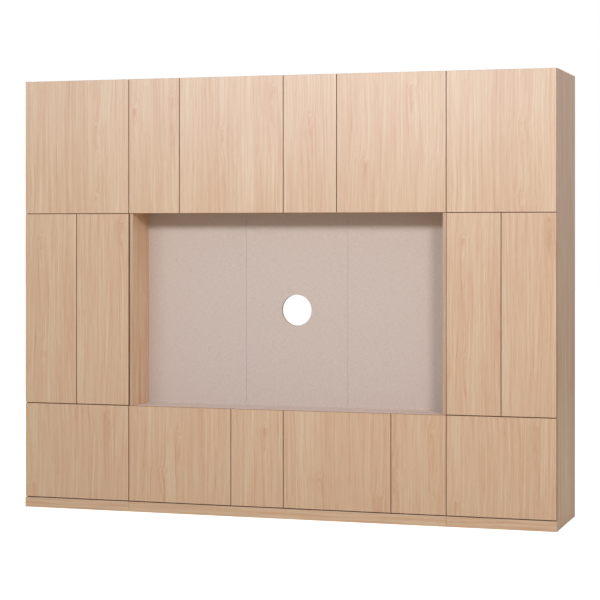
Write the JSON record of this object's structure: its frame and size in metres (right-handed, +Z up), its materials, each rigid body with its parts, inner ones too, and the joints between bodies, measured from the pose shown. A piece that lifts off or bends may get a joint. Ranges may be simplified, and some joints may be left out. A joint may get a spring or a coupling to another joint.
{
  "type": "entertainment center",
  "caption": "Handle-less oak-laminate media wall: tall side cupboards, low and overhead cupboards round an open screen niche with a cable hole, hinged doors throughout.",
  "frame": {"origin": "centre of the footprint, on the floor", "axes": "+X along the width from left to right as seen from the front, +Y from the doors to the wall, +Z up"},
  "size_m": [3.015, 0.5706, 2.395],
  "materials": {
    "front_laminate": "light oak laminate with upright grain, satin",
    "plinth_laminate": "light oak laminate with level grain, satin",
    "carcass_laminate": "light oak laminate, satin",
    "shelf_laminate": "light oak laminate, satin",
    "lining_laminate": "light oak laminate with upright grain, satin",
    "linen_laminate": "beige laminate with a printed linen weave, matt",
    "backing_board": "thin backing board, matt",
    "hinge_steel": "nickel-plated pressed steel",
    "latch_plastic": "grey moulded plastic"
  },
  "bodies": {
    "carcass": {"bridge_back": "backing_board", "bridge_bottom": "carcass_laminate", "bridge_left_side": "carcass_laminate", "bridge_partition": "carcass_laminate", "bridge_right_side": "carcass_laminate", "bridge_shelf_left": "shelf_laminate", "bridge_shelf_right": "shelf_laminate", "bridge_top": "carcass_laminate", "left_column_back": "backing_board", "left_column_bottom": "carcass_laminate", "left_column_inner_side": "carcass_laminate", "left_column_lower_deck": "carcass_laminate", "left_column_middle_shelf_1": "shelf_laminate", "left_column_middle_shelf_2": "shelf_laminate", "left_column_outer_side": "carcass_laminate", "left_column_top": "carcass_laminate", "left_column_top_shelf": "shelf_laminate", "left_column_upper_deck": "carcass_laminate", "niche_board_left": "linen_laminate", "niche_board_middle": "linen_laminate", "niche_board_right": "linen_laminate", "niche_lining_left": "lining_laminate", "niche_lining_right": "lining_laminate", "plinth_left": "plinth_laminate", "plinth_middle": "plinth_laminate", "plinth_right": "plinth_laminate", "right_column_back": "backing_board", "right_column_bottom": "carcass_laminate", "right_column_inner_side": "carcass_laminate", "right_column_lower_deck": "carcass_laminate", "right_column_middle_shelf_1": "shelf_laminate", "right_column_middle_shelf_2": "shelf_laminate", "right_column_outer_side": "carcass_laminate", "right_column_top": "carcass_laminate", "right_column_top_shelf": "shelf_laminate", "right_column_upper_deck": "carcass_laminate", "run_back": "backing_board", "run_bottom": "carcass_laminate", "run_countertop": "linen_laminate", "run_left_side": "carcass_laminate", "run_partition": "carcass_laminate", "run_right_side": "carcass_laminate", "run_shelf_left": "shelf_laminate", "run_shelf_right": "shelf_laminate"},
    "base_door_1_leaf": {"base_door_1": "front_laminate"},
    "base_door_2_leaf": {"base_door_2": "front_laminate"},
    "base_door_3_leaf": {"base_door_3": "front_laminate"},
    "base_door_4_leaf": {"base_door_4": "front_laminate"},
    "base_door_5_leaf": {"base_door_5": "front_laminate"},
    "base_door_6_leaf": {"base_door_6": "front_laminate"},
    "middle_door_1_leaf": {"middle_door_1": "front_laminate"},
    "middle_door_2_leaf": {"middle_door_2": "front_laminate"},
    "middle_door_3_leaf": {"middle_door_3": "front_laminate"},
    "middle_door_4_leaf": {"middle_door_4": "front_laminate"},
    "top_door_1_leaf": {"top_door_1": "front_laminate"},
    "top_door_2_leaf": {"top_door_2": "front_laminate"},
    "top_door_3_leaf": {"top_door_3": "front_laminate"},
    "top_door_4_leaf": {"top_door_4": "front_laminate"},
    "top_door_5_leaf": {"top_door_5": "front_laminate"},
    "top_door_6_leaf": {"top_door_6": "front_laminate"}
  },
  "joints": [
    {"name": "base_door_1_hinge", "type": "hinge", "parent": "carcass", "child": "base_door_1_leaf", "pos_m": [-1.5055, -0.28525, 0.32225], "axis": [0, 0, -1], "range_deg": [0, 105]},
    {"name": "base_door_2_hinge", "type": "hinge", "parent": "carcass", "child": "base_door_2_leaf", "pos_m": [-0.876, -0.28525, 0.32225], "axis": [0, 0, -1], "range_deg": [0, 105]},
    {"name": "base_door_3_hinge", "type": "hinge", "parent": "carcass", "child": "base_door_3_leaf", "pos_m": [0.021, -0.28525, 0.32225], "axis": [0, 0, 1], "range_deg": [0, 90]},
    {"name": "base_door_4_hinge", "type": "hinge", "parent": "carcass", "child": "base_door_4_leaf", "pos_m": [0.024, -0.28525, 0.32225], "axis": [0, 0, -1], "range_deg": [0, 90]},
    {"name": "base_door_5_hinge", "type": "hinge", "parent": "carcass", "child": "base_door_5_leaf", "pos_m": [0.921, -0.28525, 0.32225], "axis": [0, 0, 1], "range_deg": [0, 105]},
    {"name": "base_door_6_hinge", "type": "hinge", "parent": "carcass", "child": "base_door_6_leaf", "pos_m": [1.5055, -0.28525, 0.32225], "axis": [0, 0, 1], "range_deg": [0, 105]},
    {"name": "middle_door_1_hinge", "type": "hinge", "parent": "carcass", "child": "middle_door_1_leaf", "pos_m": [-1.5055, -0.28525, 1.11875], "axis": [0, 0, -1], "range_deg": [0, 105]},
    {"name": "middle_door_2_hinge", "type": "hinge", "parent": "carcass", "child": "middle_door_2_leaf", "pos_m": [-0.879, -0.28525, 1.11875], "axis": [0, 0, 1], "range_deg": [0, 105]},
    {"name": "middle_door_3_hinge", "type": "hinge", "parent": "carcass", "child": "middle_door_3_leaf", "pos_m": [0.924, -0.28525, 1.11875], "axis": [0, 0, -1], "range_deg": [0, 105]},
    {"name": "middle_door_4_hinge", "type": "hinge", "parent": "carcass", "child": "middle_door_4_leaf", "pos_m": [1.5055, -0.28525, 1.11875], "axis": [0, 0, 1], "range_deg": [0, 105]},
    {"name": "top_door_1_hinge", "type": "hinge", "parent": "carcass", "child": "top_door_1_leaf", "pos_m": [-1.5055, -0.28525, 2.02275], "axis": [0, 0, -1], "range_deg": [0, 105]},
    {"name": "top_door_2_hinge", "type": "hinge", "parent": "carcass", "child": "top_door_2_leaf", "pos_m": [-0.876, -0.28525, 2.02275], "axis": [0, 0, -1], "range_deg": [0, 105]},
    {"name": "top_door_3_hinge", "type": "hinge", "parent": "carcass", "child": "top_door_3_leaf", "pos_m": [0.021, -0.28525, 2.02275], "axis": [0, 0, 1], "range_deg": [0, 90]},
    {"name": "top_door_4_hinge", "type": "hinge", "parent": "carcass", "child": "top_door_4_leaf", "pos_m": [0.024, -0.28525, 2.02275], "axis": [0, 0, -1], "range_deg": [0, 90]},
    {"name": "top_door_5_hinge", "type": "hinge", "parent": "carcass", "child": "top_door_5_leaf", "pos_m": [0.921, -0.28525, 2.02275], "axis": [0, 0, 1], "range_deg": [0, 105]},
    {"name": "top_door_6_hinge", "type": "hinge", "parent": "carcass", "child": "top_door_6_leaf", "pos_m": [1.5055, -0.28525, 2.02275], "axis": [0, 0, 1], "range_deg": [0, 105]}
  ]
}
